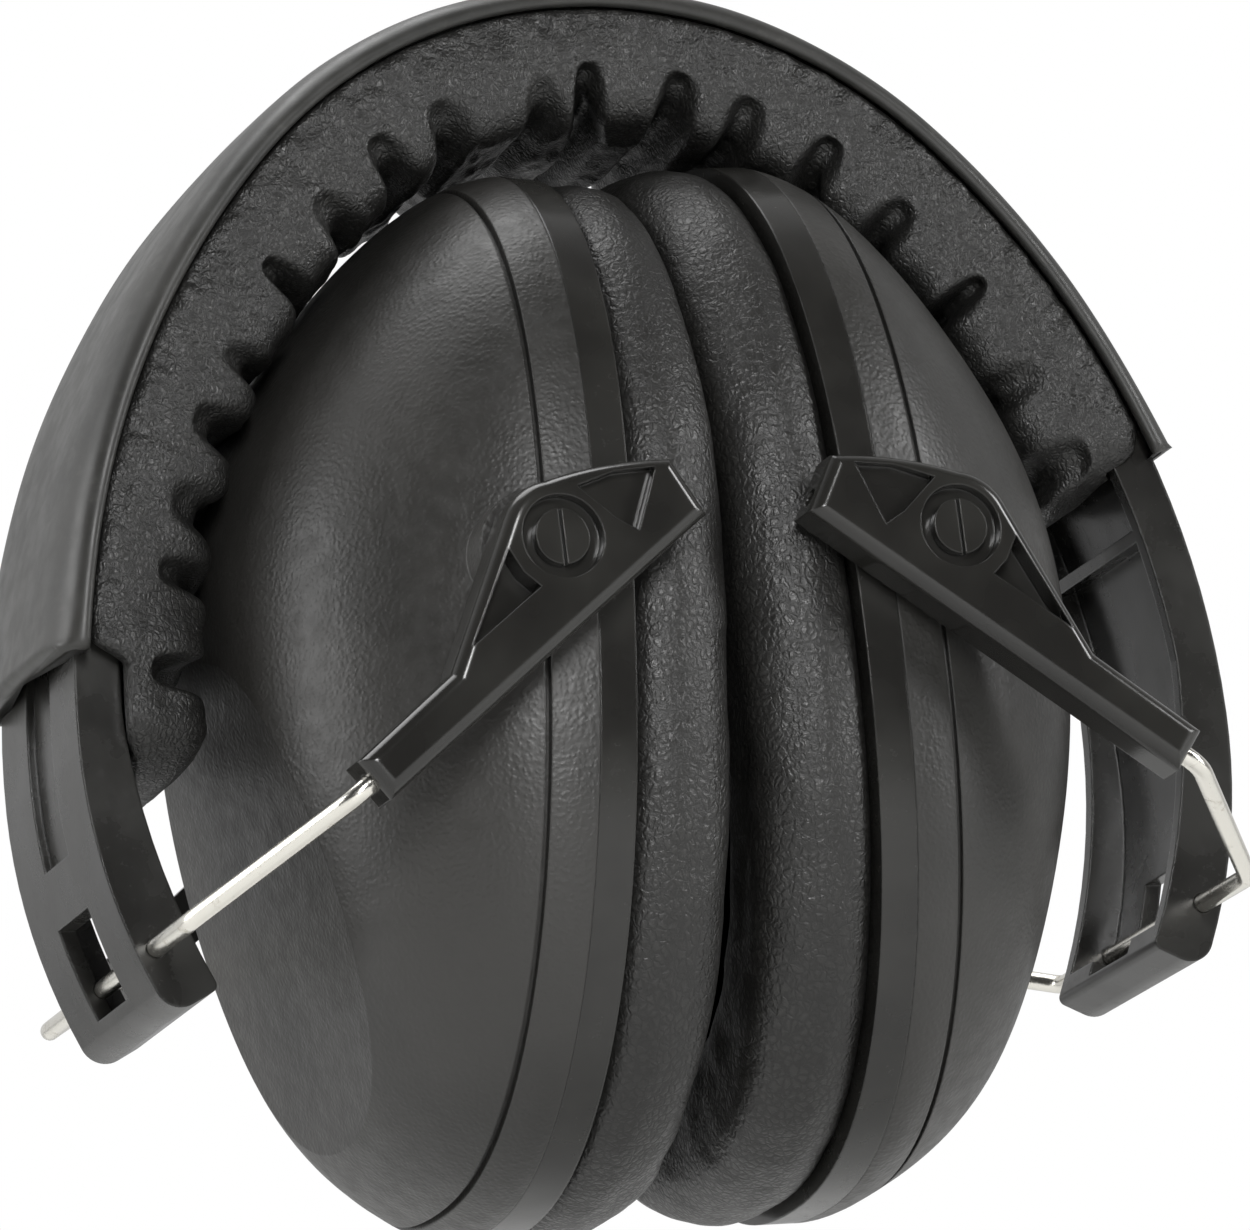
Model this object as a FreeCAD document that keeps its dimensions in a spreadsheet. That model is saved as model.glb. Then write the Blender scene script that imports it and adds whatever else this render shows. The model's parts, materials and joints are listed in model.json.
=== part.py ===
import FreeCAD, Part
import Sketcher
import math
import os

# Folding earmuff hearing protector, shown folded: two ear cups face to face
# under the arch of the headband, each hung on a bent wire yoke.
# +Z is up, +X is the wearer's right-hand cup, -Y is the front. Millimetres.

V = FreeCAD.Vector
UP_X = V(1, 0, 0)
UP_Y = V(0, 1, 0)
UP_Z = V(0, 0, 1)

os.makedirs("parts", exist_ok=True)
doc = FreeCAD.newDocument("earmuff")

DIMENSIONS = {
    # headband arch, drawn as three tangent arcs on each side
    "hinge_height": 27.0,
    "hinge_reach": 55.0,
    "crown_rise": 45.0,
    "crown_radius": 50.0,
    "side_radius": 86.0,
    "foot_radius": 58.0,
    "shoulder_angle": 45.0,
    "foot_angle": 27.0,
    "band_width": 25.0,
    "band_depth": 4.5,
    "web_thickness": 1.8,
    "band_wall": 1.6,
    "foot_depth": 5.8,
    "groove_width": 8.0,
    "groove_depth": 0.9,
    "window_width": 10.0,
    "window_low": 3.2,
    "window_high": 6.0,
    # headband cover and pad
    "cover_gap": 0.5,
    "cover_thickness": 1.6,
    "cover_width": 31.2,
    "cover_side": 1.0,
    "cover_left_end": 6.6,
    "cover_right_end": 18.2,
    "backing_thickness": 0.8,
    "backing_width": 21.0,
    "pad_depth": 11.3,
    "pad_width": 27.0,
    "flank_width": 30.4,
    "flank_slot": 25.6,
    "pad_skin": 0.9,
    "pad_left_end": 0.5,
    "pad_right_end": 17.0,
    # wire yokes
    "wire_radius": 0.95,
    "wire_hole_radius": 1.0,
    "wire_flare": 23.8,
    "wire_plane": 40.9,
    "wire_corner_x": 43.4,
    "wire_corner_z": 7.3,
    "wire_end": 35.0,
    "wire_bend_radius": 3.0,
    # yoke arms
    "arm_slope": 36.9,
    "arm_start": 2.0,
    "arm_face": 43.5,
    "arm_thickness": 4.7,
    "head_radius": 5.8,
    "pivot_along": 32.8,
    "pivot_across": 5.5,
    "counterbore_radius": 4.1,
    "counterbore_depth": 1.3,
    # pivot pins
    "pin_radius": 2.2,
    "pin_head_radius": 2.75,
    "pin_hole_radius": 2.25,
    "pin_inner_end": 33.3,
    "boss_radius": 6.4,
    "boss_face": 38.3,
    # ear cups
    "cup_tilt": 5.3,
    "pivot_reach": 20.5,
    "pivot_rise": 31.4,
    "plate_plane": 11.4,
    "rim_plane": 15.2,
    "cup_half_width": 38.0,
    "cup_top": 79.3,
    "cup_bottom": -26.9,
    "shell_wall": 2.2,
    "cushion_gap": 0.3,
    "cushion_skin": 0.8,
    "ear_half_width": 22.0,
    "ear_half_height": 36.0,
    "liner_plane": 29.0,
}

sheet = doc.addObject("Spreadsheet::Sheet", "Sizes")
for row, (alias, value) in enumerate(DIMENSIONS.items(), start=1):
    sheet.set(f"A{row}", alias)
    sheet.set(f"B{row}", str(value))
    sheet.setAlias(f"B{row}", alias)
doc.recompute()


def size(alias):
    """Value of one driving dimension, read back from the sheet."""
    return float(sheet.get(alias))


# ---------------------------------------------------------------- helpers


def new_body(label):
    body = doc.addObject("PartDesign::Body", label)
    body.Label = label
    return body


def sketch_on(body, name, role, offset=0.0):
    """Empty sketch on one of the body's own origin planes."""
    plane = next(f for f in body.Origin.OriginFeatures if f.Role == role)
    sketch = body.newObject("Sketcher::SketchObject", name)
    sketch.AttachmentSupport = (plane, [""])
    sketch.MapMode = "FlatFace"
    sketch.AttachmentOffset = FreeCAD.Placement(V(0, 0, offset), FreeCAD.Rotation())
    return sketch


def add_circle(sketch, centre, radius_alias):
    """Circle whose radius is bound to the sheet."""
    circle = Part.Circle(V(centre[0], centre[1], 0), UP_Z, size(radius_alias))
    index = sketch.addGeometry(circle, False)
    name = f"radius{index}"
    constraint = sketch.addConstraint(
        Sketcher.Constraint("Radius", index, size(radius_alias))
    )
    sketch.renameConstraint(constraint, name)
    sketch.setExpression(f"Constraints.{name}", f"Sizes.{radius_alias}")


def add_polygon(sketch, points):
    closed = points + points[:1]
    for start, end in zip(closed, closed[1:]):
        sketch.addGeometry(Part.LineSegment(V(*start, 0), V(*end, 0)), False)


def add_pad(body, sketch, length, symmetric=False, reverse=False):
    pad = body.newObject("PartDesign::Pad", sketch.Name + "_pad")
    pad.Profile = sketch
    pad.setExpression("Length", length)
    pad.SideType = "Symmetric" if symmetric else "One side"
    pad.Reversed = reverse
    sketch.Visibility = False
    doc.recompute()
    return pad


def add_pocket(body, sketch, length, symmetric=False, reverse=False):
    before = body.Shape.Volume
    pocket = body.newObject("PartDesign::Pocket", sketch.Name + "_pocket")
    pocket.Profile = sketch
    pocket.setExpression("Length", length)
    pocket.SideType = "Symmetric" if symmetric else "One side"
    pocket.Reversed = reverse
    doc.recompute()
    if body.Shape.Volume > before - 1e-3:
        raise RuntimeError(f"{pocket.Name} of {body.Label} cuts nothing")
    return pocket


def plain_feature(label, shape, placement=None):
    feature = doc.addObject("Part::Feature", label)
    feature.Label = label
    feature.Shape = shape
    if placement is not None:
        feature.Placement = placement
    return feature


# ------------------------------------------------------- headband geometry

HINGE_Z = size("hinge_height")


def arch_segments():
    """The arch's five arcs as (start, end, centre x, centre z, radius).

    Angles run anticlockwise from the widest point of the right side, so
    0 and 180 are the widest points and 90 is the crown.
    """
    shoulder = size("shoulder_angle")
    crown_z = HINGE_Z + size("crown_rise")
    shift = size("crown_radius") - size("side_radius")
    side_x = shift * math.cos(math.radians(shoulder))
    side_z = crown_z + shift * math.sin(math.radians(shoulder))
    foot_x = side_x + size("side_radius") - size("foot_radius")
    return [
        (-90, 0, foot_x, side_z, size("foot_radius")),
        (0, shoulder, side_x, side_z, size("side_radius")),
        (shoulder, 180 - shoulder, 0, crown_z, size("crown_radius")),
        (180 - shoulder, 180, -side_x, side_z, size("side_radius")),
        (180, 270, -foot_x, side_z, size("foot_radius")),
    ]


def arch_point(offset, angle):
    """Point (x, z) at a distance outside the band's outer face."""
    for start, end, x, z, radius in arch_segments():
        if start <= angle <= end:
            break
    turn = math.radians(angle)
    reach = radius + offset
    return (x + reach * math.cos(turn), z + reach * math.sin(turn))


def add_arch(sketch, offset, first, last):
    """Arcs that follow the arch between two angles."""
    for start, end, x, z, radius in arch_segments():
        low = max(start, first)
        high = min(end, last)
        if low < high:
            circle = Part.Circle(V(x, z, 0), UP_Z, radius + offset)
            arc = Part.ArcOfCircle(circle, math.radians(low), math.radians(high))
            sketch.addGeometry(arc, False)


def add_arch_strip(sketch, outer, inner, first, last):
    """Closed outline between two offsets of the arch."""
    add_arch(sketch, outer, first, last)
    add_arch(sketch, inner, first, last)
    for angle in (first, last):
        start = arch_point(outer, angle)
        end = arch_point(inner, angle)
        sketch.addGeometry(Part.LineSegment(V(*start, 0), V(*end, 0)), False)


def strip_body(label, outer, inner, first, last, width):
    """Body that follows the arch with one rectangular cross-section."""
    body = new_body(label)
    sketch = sketch_on(body, label + "_arch", "XZ_Plane")
    add_arch_strip(sketch, outer, inner, first, last)
    body.Tip = add_pad(body, sketch, width, symmetric=True)
    return body


BAND_WIDTH = "Sizes.band_width"
CHANNEL_WIDTH = "Sizes.band_width - 2 * Sizes.band_wall"
FOOT_ANGLE = size("foot_angle")
FOOT_FLOOR = 3.0
RIB_ANGLE = 13.5
RIB_HALF_ANGLE = 0.45
BEND_START = 4.0
BEND_MIDDLE = -10.0
BEND_EASE = 0.175
GROOVE_END = -8.0
FOOT_OUTER_ROUND = 2.6
FOOT_INNER_ROUND = 0.8
TOUCHING = 0.05


def add_foot(sketch, side):
    """Deeper wall where the arch turns in at one end; side is 1 or -1."""

    def place(offset, angle):
        x, z = arch_point(offset, angle)
        return V(side * x, z, 0)

    depth = size("band_depth")
    foot = size("foot_depth")
    overlap = 1.0
    inner = Part.Arc(
        place(-depth, BEND_START),
        place(BEND_EASE - foot, BEND_MIDDLE),
        place(-foot, -FOOT_ANGLE),
    )
    outer = Part.Arc(
        place(overlap - depth, BEND_START),
        place(overlap - depth, BEND_MIDDLE),
        place(overlap - depth, -FOOT_ANGLE),
    )
    sketch.addGeometry(inner, False)
    sketch.addGeometry(outer, False)
    for angle, start in ((BEND_START, depth), (-FOOT_ANGLE, foot)):
        line = Part.LineSegment(place(-start, angle), place(overlap - depth, angle))
        sketch.addGeometry(line, False)


def edges_across(shape, x, z):
    """Names of the full-width edges that lie at a given |x| and z."""
    names = []
    for index, edge in enumerate(shape.Edges, start=1):
        ends = [vertex.Point for vertex in edge.Vertexes]
        near = all(math.hypot(abs(p.x) - x, p.z - z) < TOUCHING for p in ends)
        if near and edge.Length > size("band_width") - TOUCHING:
            names.append(f"Edge{index}")
    return names


def make_headband():
    """Spring band: a channel section that ends in two windowed feet."""
    body = strip_body(
        "headband",
        0,
        -size("band_depth"),
        -FOOT_ANGLE,
        180 + FOOT_ANGLE,
        BAND_WIDTH,
    )
    feet = sketch_on(body, "feet", "XZ_Plane")
    for side in (1, -1):
        add_foot(feet, side)
    body.Tip = add_pad(body, feet, BAND_WIDTH, symmetric=True)

    hollow = sketch_on(body, "hollow", "XZ_Plane")
    web = -size("web_thickness")
    beyond = -2 * size("foot_depth")
    low_end = FOOT_FLOOR - FOOT_ANGLE
    stops = [
        (low_end, RIB_ANGLE - RIB_HALF_ANGLE),
        (RIB_ANGLE + RIB_HALF_ANGLE, 180 - RIB_ANGLE - RIB_HALF_ANGLE),
        (180 - RIB_ANGLE + RIB_HALF_ANGLE, 180 - low_end),
    ]
    for first, last in stops:
        add_arch_strip(hollow, web, beyond, first, last)
    body.Tip = add_pocket(body, hollow, CHANNEL_WIDTH, symmetric=True)

    groove = sketch_on(body, "outer_groove", "XZ_Plane")
    add_arch_strip(groove, 1, -size("groove_depth"), GROOVE_END, 180 - GROOVE_END)
    body.Tip = add_pocket(body, groove, "Sizes.groove_width", symmetric=True)

    window = sketch_on(body, "windows", "YZ_Plane")
    half = size("window_width") / 2
    low = HINGE_Z - size("window_low")
    high = HINGE_Z + size("window_high")
    add_polygon(window, [(-half, low), (half, low), (half, high), (-half, high)])
    body.Tip = add_pocket(body, window, "3 * Sizes.hinge_reach", symmetric=True)

    holes = sketch_on(body, "wire_holes", "XZ_Plane")
    for side in (1, -1):
        add_circle(holes, (side * size("hinge_reach"), HINGE_Z), "wire_hole_radius")
    tip = add_pocket(body, holes, "2 * Sizes.band_width", symmetric=True)
    inner_corner = -size("foot_depth")
    for offset, radius in ((0, FOOT_OUTER_ROUND), (inner_corner, FOOT_INNER_ROUND)):
        x, z = arch_point(offset, -FOOT_ANGLE)
        chosen = edges_across(tip.Shape, abs(x), z)
        rounding = body.newObject("PartDesign::Fillet", f"foot_round_{radius:.0f}")
        rounding.Base = (tip, chosen)
        rounding.Radius = radius
        doc.recompute()
        tip = rounding
    body.Tip = tip
    return body


def make_headband_cover():
    """Sleeve over the band's outer face, turned down at both sides."""
    inner = size("cover_gap")
    outer = inner + size("cover_thickness")
    first = size("cover_right_end")
    last = 180 - size("cover_left_end")
    side = -size("cover_side")
    body = strip_body(
        "headband_cover", outer, side, first, last, "Sizes.cover_width"
    )
    hollow = sketch_on(body, "cover_hollow", "XZ_Plane")
    beyond = -size("band_depth")
    add_arch_strip(hollow, inner, beyond, first - 5, last + 5)
    inside = "Sizes.cover_width - 2 * Sizes.cover_thickness"
    body.Tip = add_pocket(body, hollow, inside, symmetric=True)
    return body


FLANK_LOW = -9.5


def make_pad_pieces():
    """Backing strip, foam core and the vinyl skin that laps the band."""
    first = size("pad_right_end")
    last = 180 - size("pad_left_end")
    top = -size("band_depth") - 0.1
    under = top - size("backing_thickness")
    skin = size("pad_skin")
    backing = strip_body(
        "pad_backing", top, under, first + 1, last + 1, "Sizes.backing_width"
    )
    skin_angle = 1.2
    foam_ends = (first + skin_angle, last - skin_angle)
    foam_inner = skin - size("pad_depth")
    foam_width = "Sizes.pad_width - 2 * Sizes.pad_skin"
    foam = strip_body("pad_foam", under - skin, foam_inner, *foam_ends, foam_width)
    cover = strip_body(
        "headband_pad", under, -size("pad_depth"), first, last, "Sizes.pad_width"
    )
    flanks = sketch_on(cover, "pad_flanks", "XZ_Plane")
    flank_top = -size("cover_side") - 0.1
    flank_ends = (size("cover_right_end"), 180 - size("cover_left_end"))
    add_arch_strip(flanks, flank_top, FLANK_LOW, *flank_ends)
    cover.Tip = add_pad(cover, flanks, "Sizes.flank_width", symmetric=True)
    slot = sketch_on(cover, "band_slot", "XZ_Plane")
    add_arch_strip(slot, 1, under, first - 1, last + 1)
    cover.Tip = add_pocket(cover, slot, "Sizes.flank_slot", symmetric=True)
    hollow = sketch_on(cover, "pad_hollow", "XZ_Plane")
    add_arch_strip(hollow, under - skin, foam_inner, *foam_ends)
    cover.Tip = add_pocket(cover, hollow, foam_width, symmetric=True)
    return [backing, foam, cover]


# -------------------------------------------------------------- wire yokes


def arm_frame(side):
    """Unit vectors along and across an arm, in the side's own X-Z plane."""
    slope = math.radians(size("arm_slope"))
    along = V(-side * math.cos(slope), 0, math.sin(slope))
    across = V(side * math.sin(slope), 0, math.cos(slope))
    return along, across


def rounded_path(points, radius):
    """Wire of straight runs joined by tangent arcs of one radius."""
    edges = []
    start = points[0]
    for before, corner, after in zip(points, points[1:], points[2:]):
        arriving = (corner - before).normalize()
        leaving = (after - corner).normalize()
        turn = arriving.getAngle(leaving)
        cut = radius * math.tan(turn / 2)
        first = corner - arriving * cut
        last = corner + leaving * cut
        bisector = (leaving - arriving).normalize()
        centre = corner + bisector * (radius / math.cos(turn / 2))
        middle = centre - bisector * radius
        edges.append(Part.LineSegment(start, first).toShape())
        edges.append(Part.Arc(first, middle, last).toShape())
        start = last
    edges.append(Part.LineSegment(start, points[-1]).toShape())
    return Part.Wire(edges)


def make_wire_yoke(name, side):
    """Bent spring wire: hinge base through the foot, then both arm rods."""
    along, across = arm_frame(side)
    reach = side * size("hinge_reach")
    flare = size("wire_flare")
    plane = size("wire_plane")
    corner_x = side * size("wire_corner_x")
    corner_z = HINGE_Z + size("wire_corner_z")
    rod = along * size("wire_end")
    front = [
        V(corner_x, -plane, corner_z) + rod,
        V(corner_x, -plane, corner_z),
        V(reach, -flare, HINGE_Z),
    ]
    rear = [V(p.x, -p.y, p.z) for p in reversed(front)]
    path = rounded_path(front + rear, size("wire_bend_radius"))
    start = path.Edges[0].firstVertex().Point
    if start.distanceToPoint(front[0]) > 0.01:
        start = path.Edges[0].lastVertex().Point
    circle = Part.makeCircle(size("wire_radius"), front[0], along)
    wire = path.makePipeShell([Part.Wire(circle)], True, False)
    return plain_feature(name, wire)


# --------------------------------------------------------------- yoke arms

MOUTH_HALF = 2.4
WEB_START = (15.0, 2.7)
FAR_TOP = (47.1, 4.3)
FAR_LOW = (46.2, -2.0)
HEAD_POCKET = [(37.4, 8.2), (41.4, 6.9), (44.9, 4.7), (39.2, 1.2), (38.3, 3.4)]
WEB_POCKET = [(18.2, 3.3), (27.6, 8.0), (27.2, 5.4), (27.6, 3.3)]
HEAD_POCKET_DEPTH = 1.2
WEB_POCKET_DEPTH = 2.6
RIM_ROUND = 1.5


def tangent_point(point, centre, radius, turn):
    """Where a line from the point touches the circle; turn is 1 or -1."""
    dx = centre[0] - point[0]
    dy = centre[1] - point[1]
    distance = math.hypot(dx, dy)
    angle = math.atan2(dy, dx) + turn * math.asin(radius / distance)
    length = math.sqrt(distance**2 - radius**2)
    return (point[0] + length * math.cos(angle), point[1] + length * math.sin(angle))


def add_arm_outline(sketch, hand):
    """Slim sleeve that widens through a web into a teardrop head."""
    start = size("arm_start")
    centre = (size("pivot_along"), size("pivot_across"))
    radius = size("head_radius")
    left = tangent_point(WEB_START, centre, radius, 1)
    right = tangent_point(FAR_TOP, centre, radius, -1)
    top = (centre[0], centre[1] + radius)
    crown = ((right[0] + FAR_TOP[0]) / 2 + 0.2, (right[1] + FAR_TOP[1]) / 2 + 0.5)

    def place(point):
        return V(point[0], hand * point[1], 0)

    chain = [FAR_TOP, FAR_LOW, (start, -MOUTH_HALF), (start, MOUTH_HALF)]
    chain += [WEB_START, left]
    for first, last in zip(chain, chain[1:]):
        sketch.addGeometry(Part.LineSegment(place(first), place(last)), False)
    sketch.addGeometry(Part.Arc(place(left), place(top), place(right)), False)
    sketch.addGeometry(Part.Arc(place(right), place(crown), place(FAR_TOP)), False)


def make_arm(name, side, end):
    """Moulded arm; side is 1 for right, end is 1 for front and -1 for rear."""
    body = new_body(name)
    hand = side * end
    outline = sketch_on(body, name + "_outline", "XY_Plane")
    add_arm_outline(outline, hand)
    blank = add_pad(body, outline, "Sizes.arm_thickness")

    rim = []
    for index, edge in enumerate(blank.Shape.Edges, start=1):
        if max(abs(vertex.Point.z) for vertex in edge.Vertexes) < 1e-6:
            rim.append(f"Edge{index}")
    soften = body.newObject("PartDesign::Fillet", name + "_soft_rim")
    soften.Base = (blank, rim)
    soften.Radius = RIM_ROUND
    body.Tip = soften
    doc.recompute()

    for label, points, depth in (
        ("head_pocket", HEAD_POCKET, HEAD_POCKET_DEPTH),
        ("web_pocket", WEB_POCKET, WEB_POCKET_DEPTH),
    ):
        sketch = sketch_on(body, f"{name}_{label}", "XY_Plane")
        add_polygon(sketch, [(u, hand * v) for u, v in points])
        body.Tip = add_pocket(body, sketch, str(depth), reverse=True)

    pivot = (size("pivot_along"), hand * size("pivot_across"))
    ring = sketch_on(body, name + "_counterbore", "XY_Plane")
    add_circle(ring, pivot, "counterbore_radius")
    body.Tip = add_pocket(body, ring, "Sizes.counterbore_depth", reverse=True)
    hole = sketch_on(body, name + "_pin_hole", "XY_Plane")
    add_circle(hole, pivot, "pin_hole_radius")
    body.Tip = add_pocket(body, hole, "2 * Sizes.arm_thickness", reverse=True)

    tunnel = sketch_on(body, name + "_wire_tunnel", "YZ_Plane")
    depth = size("arm_face") - size("wire_plane")
    add_circle(tunnel, (0, depth), "wire_hole_radius")
    body.Tip = add_pocket(body, tunnel, "Sizes.wire_end + 20", reverse=True)

    along, across = arm_frame(side)
    across = across * hand
    inward = along.cross(across)
    matrix = FreeCAD.Matrix(
        along.x, across.x, inward.x, side * size("wire_corner_x"),
        along.y, across.y, inward.y, -end * size("arm_face"),
        along.z, across.z, inward.z, HINGE_Z + size("wire_corner_z"),
    )
    body.Placement = FreeCAD.Placement(matrix)
    return body


# -------------------------------------------------------------- pivot pins

SPLIT_WIDTH = 0.3
SPLIT_DEPTH = 0.8


def pivot_placement(side, end=1):
    """Pivot axis of one cup; the rear end is the front turned about Z."""
    spot = V(side * size("pivot_reach"), 0, HINGE_Z + size("pivot_rise"))
    turn = 0 if end == 1 else 180
    return FreeCAD.Placement(spot, FreeCAD.Rotation(UP_Z, turn))


def make_pin(name, side, end):
    """Snap-in pivot pin: a shank with a split flat head."""
    body = new_body(name)
    shank = sketch_on(body, name + "_shank", "XZ_Plane", size("pin_inner_end"))
    add_circle(shank, (0, 0), "pin_radius")
    floor = "Sizes.arm_face - Sizes.counterbore_depth"
    body.Tip = add_pad(body, shank, floor + " + 0.05 - Sizes.pin_inner_end")
    head_start = size("arm_face") - size("counterbore_depth") + 0.05
    head = sketch_on(body, name + "_head", "XZ_Plane", head_start)
    add_circle(head, (0, 0), "pin_head_radius")
    body.Tip = add_pad(body, head, "Sizes.counterbore_depth - 0.15")
    split = sketch_on(body, name + "_split", "XZ_Plane", size("arm_face") - SPLIT_DEPTH)
    half = SPLIT_WIDTH / 2
    reach = 2 * size("pin_head_radius")
    corners = [(-half, -reach), (half, -reach), (half, reach), (-half, reach)]
    add_polygon(split, corners)
    body.Tip = add_pocket(body, split, str(2 * SPLIT_DEPTH), reverse=True)
    body.Placement = pivot_placement(side, end)
    return body


# ---------------------------------------------------------------- ear cups
# Each cup is drawn about its own pivot axis: local +X points away from the
# other cup, and the cushion's sealing face is towards -X.

PIVOT_X = size("pivot_reach")
PIVOT_Z = size("pivot_rise")
CUP_TOP = size("cup_top")
CUP_BOTTOM = size("cup_bottom")
CUP_HALF = size("cup_half_width")
OVAL_POWER = 2.35

# dome stations: distance out, top, bottom, half width, roundness of the oval
DOME = [
    (15.2, CUP_TOP, CUP_BOTTOM, CUP_HALF, 2.35),
    (20.0, 77.4, -25.6, 37.1, 2.35),
    (26.0, 72.6, -22.0, 34.6, 2.3),
    (32.0, 65.5, -15.5, 30.6, 2.25),
    (37.0, 58.0, -5.0, 25.8, 2.2),
    (41.0, 51.0, 6.0, 19.5, 2.1),
    (44.0, 43.0, 20.0, 11.0, 2.0),
    (44.8, 38.0, 27.0, 5.0, 2.0),
]
FACET_X = 35.5
FACET_TILT = 18.1
GROOVE_OVAL = (76.6, -24.8, 36.3)
GROOVE_SPAN = (-0.25, 0.35)
BOSS_START = 33.5
BOSS_STEP = 1.2
BOSS_STEP_HEIGHT = 0.5
SOCKET_WALL = 1.8
SOCKET_SPAN = (31.5, 36.5)


def oval(out, top, bottom, half_width, power):
    """Closed egg-shaped wire across the cup at one distance out."""
    count = 32
    centre = (top + bottom) / 2
    half_height = (top - bottom) / 2
    points = []
    for step in range(count):
        turn = 2 * math.pi * step / count
        cosine = math.cos(turn)
        sine = math.sin(turn)
        y = half_width * math.copysign(abs(cosine) ** (2 / power), cosine)
        z = centre + half_height * math.copysign(abs(sine) ** (2 / power), sine)
        points.append(V(out - PIVOT_X, y, z - PIVOT_Z))
    curve = Part.BSplineCurve()
    curve.interpolate(points, PeriodicFlag=True)
    return Part.Wire(curve.toShape())


def rim_oval(out, inset=0.0):
    """Rim outline of the cup, moved inwards by a distance."""
    return oval(
        out, CUP_TOP - inset, CUP_BOTTOM + inset, CUP_HALF - inset, OVAL_POWER
    )


def ear_oval(out, inset=0.0):
    """Outline of the opening that the ear goes into."""
    centre = (CUP_TOP + CUP_BOTTOM) / 2
    height = size("ear_half_height") - inset
    width = size("ear_half_width") - inset
    return oval(out, centre + height, centre - height, width, OVAL_POWER)


def loft(wires, ruled=False):
    return Part.makeLoft(wires, True, ruled)


def beyond_facet(inset):
    """Block outside the flat lower panel of the dome."""
    block = Part.makeBox(60, 160, 160, V(0, -80, -80))
    block.rotate(V(0, 0, 0), UP_Y, FACET_TILT)
    shift = inset / math.cos(math.radians(FACET_TILT))
    block.translate(V(FACET_X - shift - PIVOT_X, 0, -PIVOT_Z))
    return block


def dome(inset):
    """Solid inside the dome's outer surface moved inwards by a distance."""
    wires = []
    for out, top, bottom, half_width, power in DOME:
        lower = out - inset * (out - DOME[0][0]) / (DOME[-1][0] - DOME[0][0])
        narrow = min(inset, 0.45 * half_width)
        wires.append(
            oval(lower, top - narrow, bottom + narrow, half_width - narrow, power)
        )
    return loft(wires).cut(beyond_facet(inset))


def ring(outer_wire_at, inner_wire_at, start, end):
    """Straight ring between two planes, from two functions of position."""
    outer = loft([outer_wire_at(start), outer_wire_at(end)], True)
    inner = loft([inner_wire_at(start - 1), inner_wire_at(end + 1)], True)
    return outer.cut(inner)


def cup_placement(side):
    """Right cup upright, left cup turned round and leaning inwards."""
    spot = V(side * PIVOT_X, 0, HINGE_Z + PIVOT_Z)
    if side == 1:
        return FreeCAD.Placement(spot, FreeCAD.Rotation())
    lean = FreeCAD.Rotation(UP_Y, size("cup_tilt"))
    return FreeCAD.Placement(spot, lean.multiply(FreeCAD.Rotation(UP_Z, 180)))


def y_cylinder(radius, start, end):
    """Cylinder about the pivot axis on both the front and the rear."""
    front = Part.makeCylinder(radius, end - start, V(0, start, 0), UP_Y)
    rear = Part.makeCylinder(radius, end - start, V(0, -end, 0), UP_Y)
    return front.fuse(rear)


def make_shell(name, side):
    """Hard outer cup with a groove near its rim and two pivot bosses."""
    wall = size("shell_wall")
    groove_plane = DOME[1][0]
    groove = ring(
        lambda out: rim_oval(out, -2),
        lambda out: oval(out, *GROOVE_OVAL, OVAL_POWER),
        groove_plane + GROOVE_SPAN[0],
        groove_plane + GROOVE_SPAN[1],
    )
    face = size("boss_face")
    radius = size("boss_radius")
    boss = y_cylinder(radius, BOSS_START, face - BOSS_STEP_HEIGHT)
    boss = boss.fuse(y_cylinder(radius - BOSS_STEP, BOSS_START, face))
    socket = y_cylinder(size("pin_radius") + SOCKET_WALL, *SOCKET_SPAN)
    rim = size("rim_plane") - PIVOT_X
    inner_side = Part.makeBox(60, 160, 160, V(rim - 60, -80, -80))
    outer = dome(0).cut(groove)
    hollow = dome(wall)
    mouth = loft([rim_oval(DOME[0][0] - 1, wall), rim_oval(DOME[0][0] + 0.5, wall)])
    shell = outer.fuse(boss.cut(inner_side)).cut(hollow).cut(mouth)
    shell = shell.fuse(socket.cut(inner_side))
    holes = y_cylinder(size("pin_hole_radius"), size("pin_inner_end") - 0.2, 50)
    shell = shell.cut(holes)
    return plain_feature(name, shell.removeSplitter(), cup_placement(side))


def make_seal_plate(name, side):
    """Snap-in ring that closes the cup's rim and carries the cushion."""
    start = size("plate_plane")
    end = size("rim_plane")
    lip = 1.1
    plate = ring(rim_oval, ear_oval, start, end - 0.02)
    inset = size("shell_wall") + 0.15
    spigot = ring(
        lambda out: rim_oval(out, inset),
        lambda out: rim_oval(out, inset + 1.5),
        end - 0.5,
        end + lip,
    )
    return plain_feature(name, plate.fuse(spigot), cup_placement(side))


def facing_block(side):
    """Everything on the far side of the plane where the cushions meet."""
    gap = size("cushion_gap")
    block = Part.makeBox(200, 400, 400, V(-200 + gap, -200, -200))
    if side == -1:
        block = Part.makeBox(200, 400, 400, V(-gap, -200, -200))
    block.Placement = cup_placement(side).inverse().multiply(block.Placement)
    return block


def cushion_solid(inset):
    """Plump ring; each station is (distance out, how far it stands in)."""
    base = size("plate_plane") - 0.05
    stations = [(base - inset, 0.9), (7.5, 0.5), (3.0, 1.6), (0.3 + inset, 4.2)]
    outer = loft([rim_oval(out, stand + inset) for out, stand in stations])
    bore = loft([ear_oval(-1, -inset), ear_oval(base + 1, -inset)], True)
    return outer.cut(bore)


def make_cushion_pieces(names, side):
    """Foam ring and the vinyl skin round it."""
    block = facing_block(side)
    foam = cushion_solid(size("cushion_skin"))
    trimmed = block.copy()
    skin_shift = cup_placement(side).inverse().Rotation.multVec(
        V(side * size("cushion_skin"), 0, 0)
    )
    trimmed.translate(skin_shift)
    foam = foam.cut(trimmed)
    skin = cushion_solid(0).cut(block).cut(foam)
    place = cup_placement(side)
    return [plain_feature(names[0], skin, place), plain_feature(names[1], foam, place)]


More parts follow.
